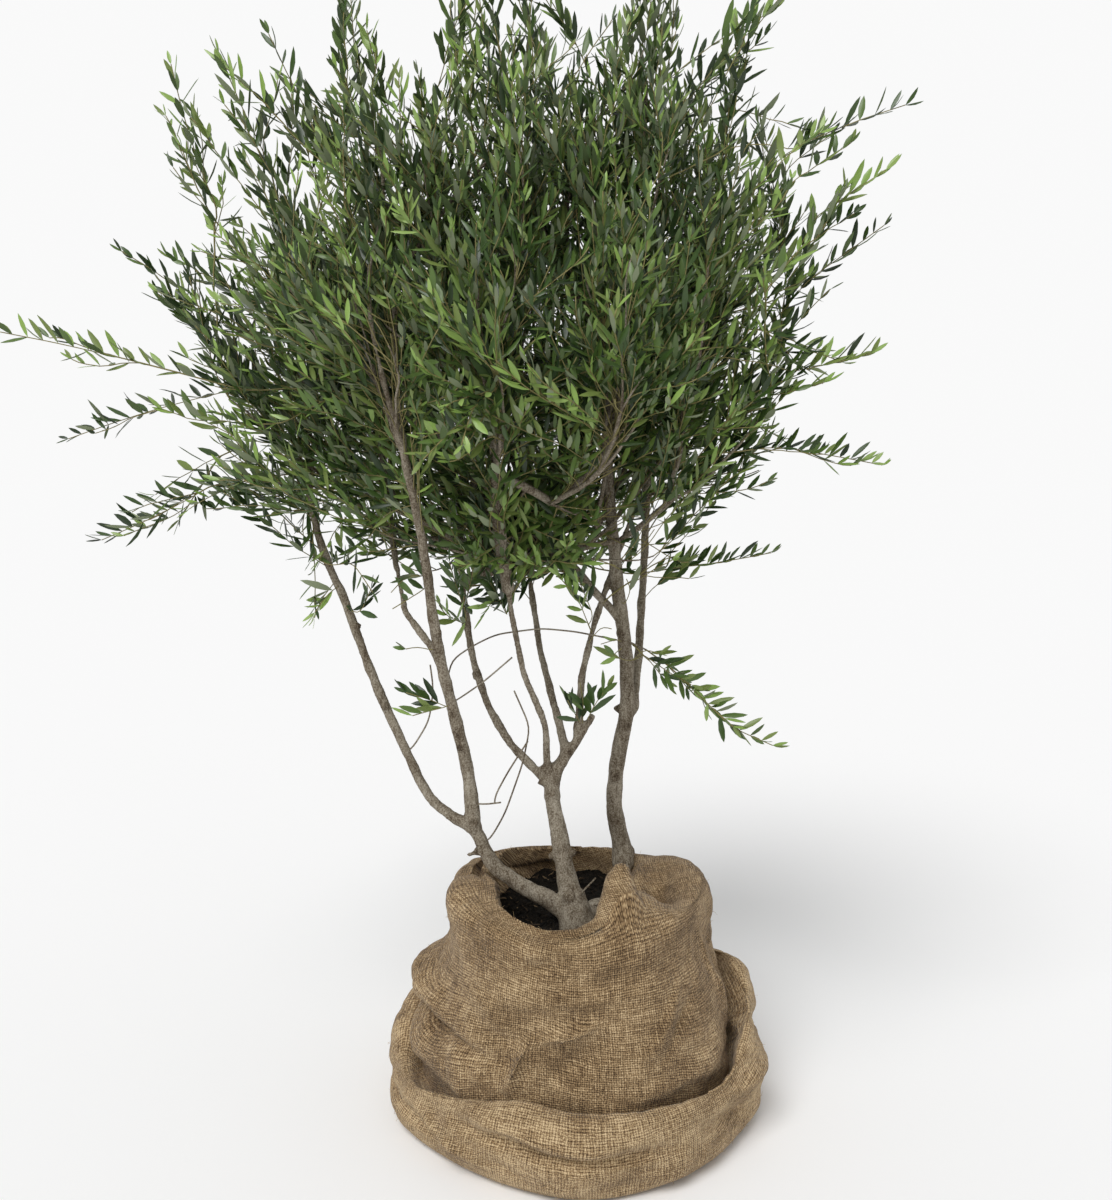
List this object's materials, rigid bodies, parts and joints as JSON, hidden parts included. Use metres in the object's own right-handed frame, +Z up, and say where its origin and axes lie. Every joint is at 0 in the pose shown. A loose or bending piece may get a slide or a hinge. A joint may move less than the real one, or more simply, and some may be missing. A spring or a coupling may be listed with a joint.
{
  "type": "olive tree in burlap sack",
  "caption": "Young multi-stem olive tree with a broad open crown, its root ball wrapped in a rolled-down burlap sack.",
  "frame": {"origin": "middle of the sack's flat underside, at ground level", "axes": "+Z up along the tree, -Y the front that the low lip of the sack faces, +X to the right seen from the front"},
  "size_m": [1.548, 0.9386, 2.0861],
  "materials": {
    "bark": "matt grey-brown bark, smooth on young stems, with scars and knots",
    "foliage": "leathery olive leaves, dark green above and silver green below",
    "burlap": "coarse open weave of natural jute",
    "compost": "dark crumbly compost with bark chips"
  },
  "bodies": {
    "root": {"arm_centre_right": "bark", "bough_centre_back": "bark", "bough_centre_front": "bark", "bough_centre_left": "bark", "bough_centre_right": "bark", "bough_left_inner": "bark", "bough_left_outer": "bark", "bough_left_upright": "bark", "bough_right": "bark", "leaves_back_centre": "foliage", "leaves_back_left": "foliage", "leaves_back_low": "foliage", "leaves_back_right": "foliage", "leaves_front_centre": "foliage", "leaves_front_left": "foliage", "leaves_front_right": "foliage", "leaves_left_under": "foliage", "leaves_lower_centre": "foliage", "leaves_lower_left": "foliage", "leaves_lower_right": "foliage", "leaves_middle_right": "foliage", "leaves_top_centre": "foliage", "leaves_top_left": "foliage", "leaves_top_right": "foliage", "leaves_upper_left": "foliage", "leaves_upper_right": "foliage", "root_ball": "compost", "sack_roll": "burlap", "sack_sleeve": "burlap", "shoot_back_left": "foliage", "shoot_back_right": "foliage", "shoot_back_top": "foliage", "shoot_far_left": "foliage", "shoot_front_low": "foliage", "shoot_left_high": "foliage", "shoot_left_low": "foliage", "shoot_left_middle": "foliage", "shoot_left_second": "foliage", "shoot_left_sparse": "foliage", "shoot_left_third": "foliage", "shoot_left_top": "foliage", "shoot_right_drooping": "foliage", "shoot_right_first": "foliage", "shoot_right_fourth": "foliage", "shoot_right_level": "foliage", "shoot_right_low": "foliage", "shoot_right_middle": "foliage", "shoot_right_second": "foliage", "shoot_right_third": "foliage", "shoot_top_centre": "foliage", "shoot_top_leader": "foliage", "shoot_top_right": "foliage", "sprig_left_under": "foliage", "stem_centre": "bark", "stem_far_left": "bark", "stem_left": "bark", "stem_left_crook": "bark", "stem_right": "bark", "stem_right_crook": "bark", "stump": "bark"}
  },
  "joints": []
}
